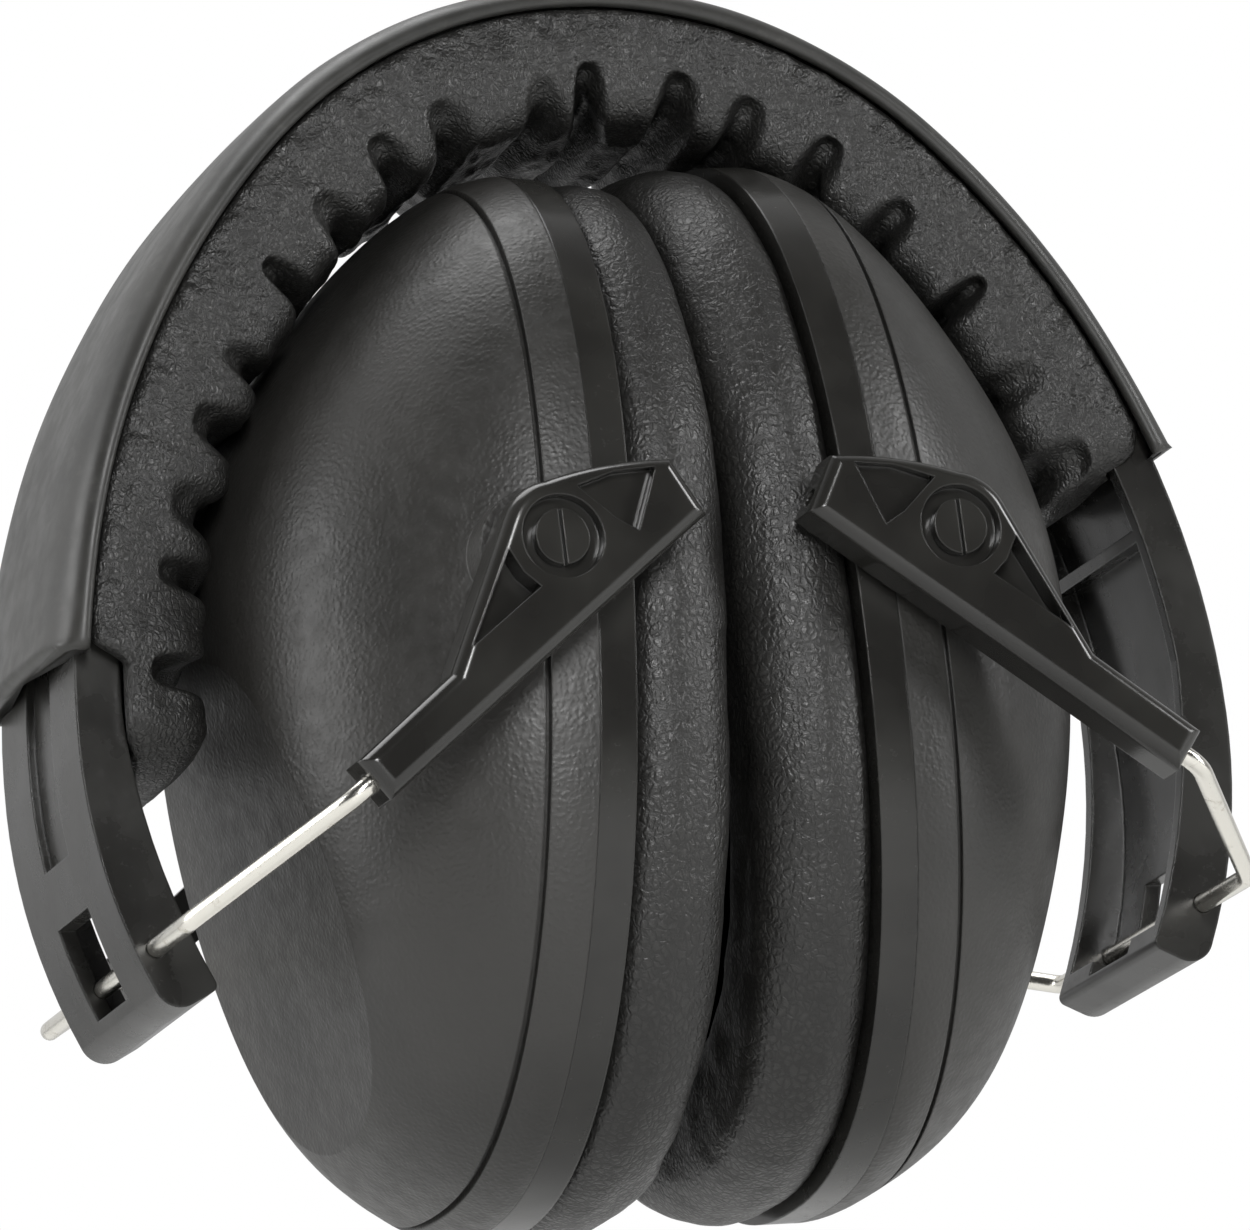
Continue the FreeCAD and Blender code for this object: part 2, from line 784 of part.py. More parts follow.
def make_liner(name, side):
    """Sound-absorbing foam that fills the outer part of the cup."""
    plane = size("liner_plane") - PIVOT_X
    room = Part.makeBox(100, 160, 160, V(plane - 100, -80, -80))
    foam = dome(size("shell_wall") + 0.5).cut(room)
    return plain_feature(name, foam, cup_placement(side))


# ---------------------------------------------------------------- assembly

pieces = [make_headband(), make_headband_cover(), *make_pad_pieces()]
for side_name, side in (("left", -1), ("right", 1)):
    pieces.append(make_wire_yoke(side_name + "_wire_yoke", side))
    for end_name, end in (("front", 1), ("rear", -1)):
        pieces.append(make_arm(f"{side_name}_{end_name}_arm", side, end))
        pieces.append(make_pin(f"{side_name}_{end_name}_pivot_pin", side, end))
    pieces.append(make_shell(side_name + "_cup_shell", side))
    pieces.append(make_seal_plate(side_name + "_seal_plate", side))
    cushion_names = (side_name + "_ear_cushion", side_name + "_cushion_foam")
    pieces += make_cushion_pieces(cushion_names, side)
    pieces.append(make_liner(side_name + "_cup_liner", side))

doc.recompute()
for item in doc.Objects:
    if "Invalid" in item.State or "Error" in item.State:
        raise RuntimeError(f"{item.Label} failed: {item.State}")
for piece in pieces:
    if piece.Shape.isNull() or not piece.Shape.isValid():
        raise RuntimeError(f"{piece.Label} has no valid shape")
    piece.Shape.exportStep(f"parts/{piece.Label}.step")
    box = piece.Shape.BoundBox
    print(
        f"{piece.Label:24s} {len(piece.Shape.Solids)} solid"
        f" {piece.Shape.Volume:9.1f} mm3"
        f" x {box.XMin:6.1f} {box.XMax:6.1f} y {box.YMin:6.1f} {box.YMax:6.1f}"
        f" z {box.ZMin:6.1f} {box.ZMax:6.1f}"
    )
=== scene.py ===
import json
import math

import bmesh
import bpy
import numpy as np
from mathutils import Matrix, Vector

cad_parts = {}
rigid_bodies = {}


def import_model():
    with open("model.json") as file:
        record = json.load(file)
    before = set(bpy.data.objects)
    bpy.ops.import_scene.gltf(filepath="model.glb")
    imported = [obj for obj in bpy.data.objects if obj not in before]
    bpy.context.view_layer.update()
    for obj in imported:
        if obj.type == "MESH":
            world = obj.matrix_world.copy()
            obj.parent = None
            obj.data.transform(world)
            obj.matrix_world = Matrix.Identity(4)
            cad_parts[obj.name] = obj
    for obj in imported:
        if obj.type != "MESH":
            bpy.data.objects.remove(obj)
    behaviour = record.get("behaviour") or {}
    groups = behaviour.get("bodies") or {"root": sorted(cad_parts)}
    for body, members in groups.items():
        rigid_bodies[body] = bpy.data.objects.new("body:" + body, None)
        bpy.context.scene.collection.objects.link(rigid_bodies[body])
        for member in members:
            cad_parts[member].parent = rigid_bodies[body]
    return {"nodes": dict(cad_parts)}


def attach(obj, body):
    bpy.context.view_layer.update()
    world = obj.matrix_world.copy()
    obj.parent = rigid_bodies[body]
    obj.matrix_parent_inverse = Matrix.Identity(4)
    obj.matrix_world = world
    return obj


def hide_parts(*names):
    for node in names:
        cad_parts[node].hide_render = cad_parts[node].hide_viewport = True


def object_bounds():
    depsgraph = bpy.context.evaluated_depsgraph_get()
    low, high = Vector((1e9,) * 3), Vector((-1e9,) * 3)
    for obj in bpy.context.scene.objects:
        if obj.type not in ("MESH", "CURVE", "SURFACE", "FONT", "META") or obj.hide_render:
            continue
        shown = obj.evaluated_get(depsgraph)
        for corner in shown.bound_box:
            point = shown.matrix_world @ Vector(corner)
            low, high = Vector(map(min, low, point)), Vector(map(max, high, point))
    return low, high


# Looks of the folding earmuff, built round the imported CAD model. Shapes are
# worked out in millimetres and written to the meshes in metres.

MM = 0.001

for leftover in list(bpy.data.objects):
    bpy.data.objects.remove(leftover)

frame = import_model()
cad_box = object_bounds()
nodes = frame["nodes"]

# ------------------------------------------------------------------ numbers

HINGE_Z = 27.0
HINGE_REACH = 55.0
CROWN_RISE = 45.0
CROWN_RADIUS = 50.0
SIDE_RADIUS = 86.0
SHOULDER = 45.0
BAND_DEPTH = 4.5
COVER_FACE = 2.1
COVER_WALL = 1.6
COVER_HALF = 15.6
COVER_ENDS = (18.2, 173.4)
PAD_ENDS = (17.0, 181.8)

PIVOT_X = 20.5
PIVOT_Z = 31.4
CUP_LEAN = 5.3
CUP_MIDDLE = 26.2
CUP_HALF_HEIGHT = 53.1
CUP_HALF_WIDTH = 38.0
EAR_HALF_HEIGHT = 36.0
EAR_HALF_WIDTH = 22.0
OVAL_POWER = 2.35
PLATE_FACE = 11.35


# -------------------------------------------------------------------- noise


def lattice(ix, iy, seed):
    """Repeatable value from 0 to 1 for each whole-number cell."""
    mixed = (ix * 374761393 + iy * 668265263 + seed * 974711) & 0xFFFFFFFF
    mixed = ((mixed ^ (mixed >> 13)) * 1274126177) & 0xFFFFFFFF
    return ((mixed ^ (mixed >> 16)) & 0xFFFF) / 65535.0


def noise(x, y, seed):
    """Smooth value noise from -1 to 1."""
    x, y = np.broadcast_arrays(np.asarray(x, float), np.asarray(y, float))
    ix = np.floor(x).astype(np.int64)
    iy = np.floor(y).astype(np.int64)
    fx = x - ix
    fy = y - iy
    fx = fx * fx * (3 - 2 * fx)
    fy = fy * fy * (3 - 2 * fy)
    low = lattice(ix, iy, seed) * (1 - fx) + lattice(ix + 1, iy, seed) * fx
    high = lattice(ix, iy + 1, seed) * (1 - fx) + lattice(ix + 1, iy + 1, seed) * fx
    return 2 * (low * (1 - fy) + high * fy) - 1


def layered(x, y, seed, octaves=3):
    total = 0.0
    for octave in range(octaves):
        total = total + noise(x * 2**octave, y * 2**octave, seed + octave) / 2**octave
    return total


def smooth_step(low, high, value):
    t = np.clip((value - low) / (high - low), 0, 1)
    return t * t * (3 - 2 * t)


# --------------------------------------------------------------- mesh tools


def closed_curve(points, count):
    """Even samples of a smooth closed curve through the points."""
    points = np.array(points, float)
    size = len(points)
    dense = []
    for i in range(size):
        a, b, c, d = (points[(i + k - 1) % size] for k in range(4))
        for t in np.linspace(0, 1, 24, endpoint=False):
            dense.append(
                0.5
                * (
                    2 * b
                    + (c - a) * t
                    + (2 * a - 5 * b + 4 * c - d) * t**2
                    + (3 * b - a - 3 * c + d) * t**3
                )
            )
    dense = np.array(dense + dense[:1])
    steps = np.linalg.norm(np.diff(dense, axis=0), axis=1)
    length = np.concatenate([[0], np.cumsum(steps)])
    at = np.linspace(0, length[-1], count, endpoint=False)
    return np.stack([np.interp(at, length, dense[:, k]) for k in range(2)], axis=1)


def tube_mesh(name, grid, closed):
    """Mesh of rings: grid is rings x points x 3, in millimetres."""
    rings, around = grid.shape[:2]
    vertices = [tuple(p) for p in (grid.reshape(-1, 3) * MM)]
    faces = []
    for i in range(rings if closed else rings - 1):
        j = (i + 1) % rings
        for k in range(around):
            m = (k + 1) % around
            faces.append(
                (i * around + k, i * around + m, j * around + m, j * around + k)
            )
    if not closed:
        for ring, turn in ((0, -1), (rings - 1, 1)):
            centre = len(vertices)
            vertices.append(tuple(grid[ring].mean(0) * MM))
            for k in range(around):
                m = (k + 1) % around
                pair = (k, m) if turn == 1 else (m, k)
                faces.append((ring * around + pair[0], ring * around + pair[1], centre))
    mesh = bpy.data.meshes.new(name)
    mesh.from_pydata(vertices, [], faces)
    mesh.validate()
    mesh.update()
    mesh.shade_smooth()
    piece = bpy.data.objects.new(name, mesh)
    bpy.context.scene.collection.objects.link(piece)
    outward(mesh)
    return piece


def outward(mesh):
    """Turns the faces so that a closed mesh has its normals outside."""
    work = bmesh.new()
    work.from_mesh(mesh)
    bmesh.ops.recalc_face_normals(work, faces=work.faces)
    work.to_mesh(mesh)
    work.free()


# --------------------------------------------------------------- arch tools


def arch_base(angle):
    """Centre of curvature and radius of the band's outer face."""
    crown_z = HINGE_Z + CROWN_RISE
    shift = CROWN_RADIUS - SIDE_RADIUS
    turn = math.radians(SHOULDER)
    side_x = shift * math.cos(turn)
    side_z = crown_z + shift * math.sin(turn)
    right = angle < SHOULDER
    left = angle > 180 - SHOULDER
    x = np.where(right, side_x, np.where(left, -side_x, 0.0))
    z = np.where(right | left, side_z, crown_z)
    radius = np.where(right | left, SIDE_RADIUS, CROWN_RADIUS)
    return x, z, radius


def arch_place(angle, along_y, offset):
    """Points at a distance outside the band's outer face."""
    x, z, radius = arch_base(angle)
    turn = np.radians(angle)
    reach = radius + offset
    return np.stack(
        np.broadcast_arrays(x + reach * np.cos(turn), along_y, z + reach * np.sin(turn)),
        axis=-1,
    )


def arch_walk(ends, offset, step):
    """Angles at even steps along the arch, and the distance walked."""
    angles = np.linspace(ends[0], ends[1], 4000)
    points = arch_place(angles, 0.0, offset)
    steps = np.linalg.norm(np.diff(points, axis=0), axis=1)
    walked = np.concatenate([[0], np.cumsum(steps)])
    count = int(walked[-1] / step) + 1
    at = np.linspace(0, walked[-1], count)
    return np.interp(at, walked, angles), at


# ---------------------------------------------------------------- materials


class Shader:
    """One procedural material, built node by node in millimetres."""

    def __init__(self, name):
        self.material = bpy.data.materials.new(name)
        self.material.use_nodes = True
        self.tree = self.material.node_tree
        self.surface = self.tree.nodes["Principled BSDF"]
        where = self.node("ShaderNodeTexCoord").outputs["Object"]
        scaled = self.node("ShaderNodeVectorMath", operation="SCALE")
        self.link(where, scaled.inputs[0])
        scaled.inputs["Scale"].default_value = 1 / MM
        self.place = scaled.outputs[0]

    def node(self, kind, **settings):
        made = self.tree.nodes.new(kind)
        for key, value in settings.items():
            setattr(made, key, value)
        return made

    def link(self, source, target):
        self.tree.links.new(source, target)

    def stretched(self, factors, place=None):
        made = self.node("ShaderNodeVectorMath", operation="MULTIPLY")
        self.link(place or self.place, made.inputs[0])
        made.inputs[1].default_value = factors
        return made.outputs[0]

    def noise(self, scale, detail=2.0, rough=0.5, place=None):
        made = self.node("ShaderNodeTexNoise")
        self.link(place or self.place, made.inputs["Vector"])
        made.inputs["Scale"].default_value = scale
        made.inputs["Detail"].default_value = detail
        made.inputs["Roughness"].default_value = rough
        return made.outputs["Fac"]

    def bent_place(self, scale, amount):
        """Coordinates pushed about by noise, so that cells aren't regular."""
        made = self.node("ShaderNodeTexNoise")
        self.link(self.place, made.inputs["Vector"])
        made.inputs["Scale"].default_value = scale
        made.inputs["Detail"].default_value = 2.0
        push = self.node("ShaderNodeVectorMath", operation="MULTIPLY_ADD")
        self.link(made.outputs["Color"], push.inputs[0])
        push.inputs[1].default_value = (amount, amount, amount)
        self.link(self.place, push.inputs[2])
        return push.outputs[0]

    def cells(self, scale, place, feature="DISTANCE_TO_EDGE"):
        made = self.node("ShaderNodeTexVoronoi", feature=feature)
        self.link(place, made.inputs["Vector"])
        made.inputs["Scale"].default_value = scale
        return made.outputs["Distance"]

    def remap(self, value, low, high, new_low, new_high):
        made = self.node("ShaderNodeMapRange", interpolation_type="SMOOTHSTEP")
        self.link(value, made.inputs["Value"])
        for key, number in (
            ("From Min", low),
            ("From Max", high),
            ("To Min", new_low),
            ("To Max", new_high),
        ):
            made.inputs[key].default_value = number
        return made.outputs["Result"]

    def maths(self, operation, first, second):
        made = self.node("ShaderNodeMath", operation=operation)
        for socket, value in zip(made.inputs, (first, second)):
            if isinstance(value, (int, float)):
                socket.default_value = value
            else:
                self.link(value, socket)
        return made.outputs[0]

    def colours(self, factor, first, second):
        made = self.node("ShaderNodeMix", data_type="RGBA")
        self.link(factor, made.inputs["Factor"])
        for name, value in (("A", first), ("B", second)):
            socket = next(
                s for s in made.inputs if s.name == name and s.type == "RGBA"
            )
            if isinstance(value, tuple):
                socket.default_value = (*value, 1.0)
            else:
                self.link(value, socket)
        return next(s for s in made.outputs if s.type == "RGBA")

    def bump(self, height, depth, normal=None):
        made = self.node("ShaderNodeBump")
        self.link(height, made.inputs["Height"])
        made.inputs["Distance"].default_value = depth * MM
        if normal is not None:
            self.link(normal, made.inputs["Normal"])
        return made.outputs["Normal"]

    def soft_edges(self, radius):
        made = self.node("ShaderNodeBevel", samples=4)
        made.inputs["Radius"].default_value = radius * MM
        return made.outputs["Normal"]

    def worn_edges(self, softened):
        """1 where a rounded edge turns away from the flat face."""
        geometry = self.node("ShaderNodeNewGeometry")
        dot = self.node("ShaderNodeVectorMath", operation="DOT_PRODUCT")
        self.link(softened, dot.inputs[0])
        self.link(geometry.outputs["Normal"], dot.inputs[1])
        return self.remap(dot.outputs["Value"], 0.995, 0.8, 0.0, 1.0)

    def finish(self, colour, roughness, normal, **settings):
        self.link(colour, self.surface.inputs["Base Color"])
        self.link(roughness, self.surface.inputs["Roughness"])
        self.link(normal, self.surface.inputs["Normal"])
        for key, value in settings.items():
            self.surface.inputs[key.replace("_", " ").title()].default_value = value
        return self.material


def moulded_plastic(name, dark, light, gloss, grain, depth, edge, wear):
    """Injection-moulded nylon: gloss is (smoothest, roughest)."""
    s = Shader(name)
    cloud = s.noise(0.09, 3.0)
    fine = s.noise(grain, 2.0, 0.6)
    soft = s.soft_edges(edge)
    edges = s.worn_edges(soft)
    handling = s.remap(s.noise(0.35, 4.0, 0.65), 0.45, 0.75, 0.0, 1.0)
    body = s.colours(s.remap(cloud, 0.3, 0.7, 0.0, 1.0), dark, light)
    rubbed = tuple(c + wear for c in light)
    colour = s.colours(s.maths("MULTIPLY", edges, handling), body, rubbed)
    base = s.remap(cloud, 0.3, 0.7, gloss[0], gloss[1])
    marks = s.remap(s.noise(0.9, 5.0, 0.7), 0.5, 0.8, 0.0, 0.08)
    roughness = s.maths("ADD", base, marks)
    waves = s.bump(s.noise(0.12, 1.0), 0.12, soft)
    normal = s.bump(fine, depth, waves)
    return s.finish(colour, roughness, normal)


def pebbled_plastic(name):
    """Cup shells: fine spark-eroded texture that glitters at a grazing light."""
    s = Shader(name)
    soft = s.soft_edges(0.3)
    cloud = s.noise(0.05, 3.0)
    bent = s.bent_place(1.6, 0.35)
    pebble = s.remap(s.cells(2.2, bent, "SMOOTH_F1"), 0.0, 0.75, 1.0, 0.0)
    speck = s.noise(5.0, 2.0, 0.6)
    colour = s.colours(
        s.remap(cloud, 0.35, 0.65, 0.0, 1.0), (0.018, 0.0175, 0.016), (0.027, 0.026, 0.024)
    )
    roughness = s.remap(s.noise(0.5, 4.0, 0.6), 0.3, 0.75, 0.36, 0.48)
    broad = s.bump(s.noise(0.06, 1.0), 0.2, soft)
    normal = s.bump(speck, 0.008, s.bump(pebble, 0.028, broad))
    return s.finish(colour, roughness, normal)


def leatherette(name, scale, depth, dark, light, gloss, crease):
    """Embossed vinyl: pebbles of uneven size parted by fine valleys."""
    s = Shader(name)
    bent = s.bent_place(0.9, 0.9)
    long_cells = s.stretched((1.0, 1.0, 0.72), bent)
    valley = s.remap(s.cells(scale, long_cells), 0.0, 0.3, 0.0, 1.0)
    small = s.remap(s.cells(scale * 2.3, bent), 0.0, 0.35, 0.0, 1.0)
    folds = s.noise(crease, 4.0, 0.62, s.stretched((1.0, 1.0, 2.4)))
    cloud = s.noise(0.12, 3.0)
    tone = s.colours(s.remap(cloud, 0.3, 0.7, 0.0, 1.0), dark, light)
    # the valleys between pebbles are painted darker than the pebbles: painted shade in the
    # grain's recesses
    colour = s.colours(valley, tuple(c * 0.7 for c in dark), tone)
    shine = s.remap(s.noise(0.4, 4.0, 0.6), 0.3, 0.75, gloss[0], gloss[1])
    roughness = s.maths("ADD", shine, s.remap(valley, 0.0, 1.0, 0.1, 0.0))
    grain = s.bump(valley, depth, s.bump(folds, depth * 2.6))
    normal = s.bump(small, depth * 0.35, grain)
    return s.finish(colour, roughness, normal)


def sleeve_rubber(name):
    """Soft elastomer sleeve with a dull bloom and light scuffs."""
    s = Shader(name)
    soft = s.soft_edges(0.35)
    cloud = s.noise(0.07, 4.0, 0.6)
    streaks = s.noise(0.8, 6.0, 0.7, s.stretched((1.0, 0.35, 1.0)))
    scuff = s.remap(streaks, 0.52, 0.8, 0.0, 1.0)
    body = s.colours(
        s.remap(cloud, 0.3, 0.7, 0.0, 1.0), (0.021, 0.021, 0.0195), (0.031, 0.0305, 0.028)
    )
    colour = s.colours(scuff, body, (0.05, 0.049, 0.045))
    roughness = s.remap(s.noise(0.3, 3.0, 0.6), 0.3, 0.7, 0.36, 0.46)
    waves = s.bump(s.noise(0.1, 2.0), 0.25, soft)
    normal = s.bump(s.noise(6.0, 3.0, 0.7), 0.01, waves)
    return s.finish(colour, roughness, normal)


def drawn_wire(name):
    """Nickel-plated spring wire with fine drawing lines and dull spots."""
    s = Shader(name)
    lines = s.noise(5.0, 3.0, 0.6, s.stretched((0.35, 1.6, 1.6)))
    stains = s.remap(s.noise(0.5, 5.0, 0.7), 0.55, 0.75, 0.0, 1.0)
    colour = s.colours(stains, (0.78, 0.76, 0.70), (0.52, 0.49, 0.42))
    drawn = s.remap(lines, 0.3, 0.7, 0.16, 0.26)
    roughness = s.maths("ADD", drawn, s.maths("MULTIPLY", stains, 0.15))
    normal = s.bump(lines, 0.01)
    return s.finish(colour, roughness, normal, metallic=1.0)


def open_foam(name, dark, light):
    """Cut polyurethane foam: small open cells."""
    s = Shader(name)
    bent = s.bent_place(1.5, 0.5)
    pores = s.remap(s.cells(1.6, bent, "F1"), 0.1, 0.6, 0.0, 1.0)
    # the pore hollows are painted darker than the cell walls: painted shade inside the open
    # cells
    colour = s.colours(pores, dark, light)
    roughness = s.remap(s.noise(0.8, 3.0), 0.3, 0.7, 0.85, 0.98)
    normal = s.bump(pores, 0.25, s.bump(s.noise(0.3, 3.0), 0.4))
    return s.finish(colour, roughness, normal)


BLACK = (0.014, 0.0135, 0.0125)
SOOT = (0.022, 0.0215, 0.0195)
DULL_SOOT = (0.04, 0.039, 0.036)
PAD_DARK = (0.012, 0.0118, 0.011)
PAD_LIGHT = (0.024, 0.0235, 0.022)
CUSHION_LIGHT = (0.022, 0.0215, 0.02)
# foam pairs: the first colour is the painted shade in the pores, the second the cell walls
CORE_FOAM = ((0.02, 0.02, 0.02), (0.06, 0.06, 0.06))
LINER_FOAM = ((0.02, 0.02, 0.022), (0.075, 0.075, 0.08))

# plastic: dark, light, gloss, grain, depth of the grain, edge radius, wear
# vinyl: size of the pebbles, depth, dark, light, gloss, spacing of creases
MATERIALS = {
    "band_plastic": moulded_plastic(
        "band_nylon", BLACK, SOOT, (0.22, 0.32), 3.0, 0.006, 0.35, 0.02
    ),
    "cover_vinyl": sleeve_rubber("sleeve_rubber"),
    "strip_plastic": moulded_plastic(
        "strip_plastic", SOOT, DULL_SOOT, (0.3, 0.4), 3.0, 0.006, 0.15, 0.02
    ),
    "pad_vinyl": leatherette(
        "pad_vinyl", 1.7, 0.05, PAD_DARK, PAD_LIGHT, (0.3, 0.42), 0.5
    ),
    "cushion_vinyl": leatherette(
        "cushion_leatherette", 1.3, 0.045, BLACK, CUSHION_LIGHT, (0.32, 0.42), 0.35
    ),
    "spring_wire": drawn_wire("nickel_wire"),
    "arm_plastic": moulded_plastic(
        "arm_gloss", BLACK, SOOT, (0.12, 0.2), 2.5, 0.004, 0.3, 0.015
    ),
    "pin_plastic": moulded_plastic(
        "pin_gloss", BLACK, SOOT, (0.14, 0.22), 2.5, 0.004, 0.25, 0.02
    ),
    "shell_plastic": pebbled_plastic("shell_pebble"),
    "plate_plastic": moulded_plastic(
        "plate_gloss", BLACK, SOOT, (0.18, 0.26), 3.0, 0.005, 0.3, 0.015
    ),
    "foam": open_foam("pad_foam", *CORE_FOAM),
    "liner_foam": open_foam("liner_foam", *LINER_FOAM),
}

for node in nodes.values():
    for entry in node.material_slots:
        entry.material = MATERIALS[entry.material.name.split(".")[0]]


def dress(piece, slot, body, *replaced):
    """Gives a new piece its finish and its body, and hides the nodes it stands for."""
    piece.data.materials.append(MATERIALS[slot])
    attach(piece, body)
    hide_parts(*replaced)
    return piece


# ----------------------------------------------------------- headband cover


def make_cover():
    """Sleeve round the band: rolled edges, a soft ridge and flared lips."""
    angles, walked = arch_walk(COVER_ENDS, COVER_FACE, 0.55)
    face = COVER_FACE
    half = COVER_HALF
    wall = COVER_WALL
    right_half = [
        (half - 0.2, -0.95),
        (half - 0.02, -0.45),
        (half - 0.3, 0.2),
        (half - 1.0, 0.9),
        (half - 2.4, 1.5),
        (half - 4.6, 1.88),
        (half - 8.0, face - 0.04),
        (half - 12.0, face),
    ]
    inner_half = [
        (half - 12.0, face - wall),
        (half - 4.2, face - wall - 0.1),
        (half - wall - 0.4, face - wall - 0.35),
        (half - wall, -0.35),
        (half - wall + 0.15, -0.8),
        (half - 0.8, -1.08),
    ]
    mirrored = [(-y, n) for y, n in reversed(right_half)]
    inner_mirrored = [(-y, n) for y, n in inner_half]
    outline = right_half + mirrored + inner_mirrored[::-1] + inner_half
    section = closed_curve(outline, 150)
    y = np.broadcast_to(section[:, 0], (len(angles), len(section))).copy()
    n = np.broadcast_to(section[:, 1], y.shape).copy()
    end = walked[-1]
    from_left = (end - walked)[:, None]
    from_right = walked[:, None]
    flare = 0.8 * np.exp(-from_left / 4.0) + 0.3 * np.exp(-from_right / 4.0)
    outer = smooth_step(-1.0, face, n)
    n += flare * (0.3 + 0.7 * outer)
    y *= 1 + 0.015 * flare
    n += 0.14 * noise(walked[:, None] / 11.0, y / 9.0, 3) * outer
    lip = np.minimum(from_left, from_right)
    pinch = 1 - np.sqrt(np.clip(1 - (1 - np.clip(lip / 0.7, 0, 1)) ** 2, 0, 1))
    in_wall = np.abs(y) > half - wall - 0.6
    middle_n = np.where(in_wall, n, face - wall / 2)
    middle_y = np.where(in_wall, np.sign(y) * (half - wall / 2), y)
    n += 0.45 * pinch * (middle_n - n)
    y += 0.45 * pinch * (middle_y - y)
    bowed = 0.5 * noise(y / 10.0, 0.5, 8) * np.exp(-from_left / 3.0)
    grid = arch_place(angles[:, None] + bowed, y, n)
    cover = tube_mesh("headband_cover_sleeve", grid, False)
    return dress(cover, "cover_vinyl", "headband", "headband_cover")


# ------------------------------------------------------------- headband pad

GATHER_PITCH = 8.8
GATHER_SEED = 21


def gathers(walked, across):
    """Depth of the gathered notches along the pad, from 0 to 1 and over."""
    rng = np.random.default_rng(GATHER_SEED)
    total = walked[-1, 0]
    depth = np.zeros(np.broadcast(walked, across).shape)
    at = 4.0
    index = 0
    while at < total - 3:
        strength = rng.uniform(0.5, 1.1)
        width = rng.uniform(1.5, 2.3)
        deep = 1.0 if index % 5 == 2 else 0.0
        drift = 1.5 * noise(across / 7.0, 0.5 + index, 40 + index)
        gap = np.abs(walked - at - drift) / (width * (1 - 0.25 * deep))
        depth = np.maximum(depth, (strength + 0.4 * deep) * np.exp(-(gap**3.0)))
        at += GATHER_PITCH * rng.uniform(0.84, 1.16)
        index += 1
    return depth


def make_pad():
    """Gathered vinyl pad: its flanks lap the band and meet the cover's hem."""
    angles, walked = arch_walk(PAD_ENDS, -9.0, 0.3)
    top = -BAND_DEPTH - 0.95
    right_half = [
        (6.0, top),
        (11.4, top),
        (12.95, top + 0.5),
        (13.05, -3.4),
        (13.15, -2.0),
        (13.7, -1.3),
        (14.5, -1.25),
        (15.05, -1.9),
        (15.2, -3.4),
        (15.2, -5.4),
        (15.1, -8.0),
        (14.7, -10.8),
        (13.2, -12.7),
        (9.5, -13.4),
        (4.0, -13.6),
    ]
    mirrored = [(-y, n) for y, n in reversed(right_half)]
    section = closed_curve(right_half + mirrored, 230)
    y = np.broadcast_to(section[:, 0], (len(angles), len(section))).copy()
    n = np.broadcast_to(section[:, 1], y.shape).copy()
    level = section[:, 1]
    along = walked[:, None]
    lapped = smooth_step(COVER_ENDS[0] - 0.8, COVER_ENDS[0] + 0.6, angles)
    lapped *= smooth_step(COVER_ENDS[1] + 0.8, COVER_ENDS[1] - 0.8, angles)
    flank = np.clip(n - top, 0, None)
    n = n - flank * 0.8 * (1 - lapped[:, None])
    free = smooth_step(6.0, 12.0, -n)
    notch = gathers(along, y)
    sway = layered(along / 7.0, y / 8.0, 60)
    n += free * (3.1 * notch - 0.4 * sway)
    outside = smooth_step(8.0, 14.0, np.abs(y))
    inner_third = smooth_step(7.5, 11.0, -level)
    middle = np.exp(-(((level + 7.0) / 3.0) ** 2))
    bulge = 0.4 * sway * (inner_third + middle) - 1.2 * np.clip(notch, 0, 1.2) * inner_third
    y += np.sign(y) * outside * bulge
    hem = np.exp(-(((level + 2.4) / 1.5) ** 2)) * outside * (np.abs(y) > 14.0)
    crinkle = layered(along / 1.4, level / 2.6, 70)
    y += np.sign(y) * 0.3 * (crinkle - 0.5) * hem
    fine = layered(along / 2.2, (section[:, 0] + level) / 3.6, 80)
    n += 0.2 * fine * free
    y += np.sign(y) * 0.2 * fine * outside * smooth_step(4.0, 6.0, -level)
    end_gap = np.minimum(along, walked[-1] - along)
    cap = np.clip(end_gap / 5.0, 0, 1)
    swell = np.sqrt(np.clip(1 - (1 - cap) ** 2, 0, 1))
    centre = (top - 12.5) / 2
    y = y * (0.25 + 0.75 * swell)
    n = centre + (n - centre) * (0.06 + 0.94 * swell)
    ceiling = np.where(np.abs(y) < 12.7, top, -1.2)
    n = np.minimum(n, ceiling)
    grid = arch_place(angles[:, None], y, n)
    pad = tube_mesh("headband_pad_gathered", grid, False)
    dress(pad, "pad_vinyl", "headband", "headband_pad", "pad_foam")
    return pad


# ------------------------------------------------------------- ear cushions


def cup_oval(turn, half_width, half_height):
    cosine = np.cos(turn)
    sine = np.sin(turn)
    y = half_width * np.sign(cosine) * np.abs(cosine) ** (2 / OVAL_POWER)
    z = CUP_MIDDLE + half_height * np.sign(sine) * np.abs(sine) ** (2 / OVAL_POWER)
    return y, z


def cup_place(side, out, y, z):
    """Cup coordinates to the row frame; z is measured from the hinge."""
    x = out - PIVOT_X
    z = z - PIVOT_Z
    if side == 1:
        return np.stack([PIVOT_X + x, y, z + PIVOT_Z + HINGE_Z], axis=-1)
    lean = math.radians(CUP_LEAN)
    cosine = math.cos(lean)
    sine = math.sin(lean)
    leaned_x = -x * cosine + z * sine
    leaned_z = x * sine + z * cosine
    return np.stack([leaned_x - PIVOT_X, -y, leaned_z + PIVOT_Z + HINGE_Z], axis=-1)


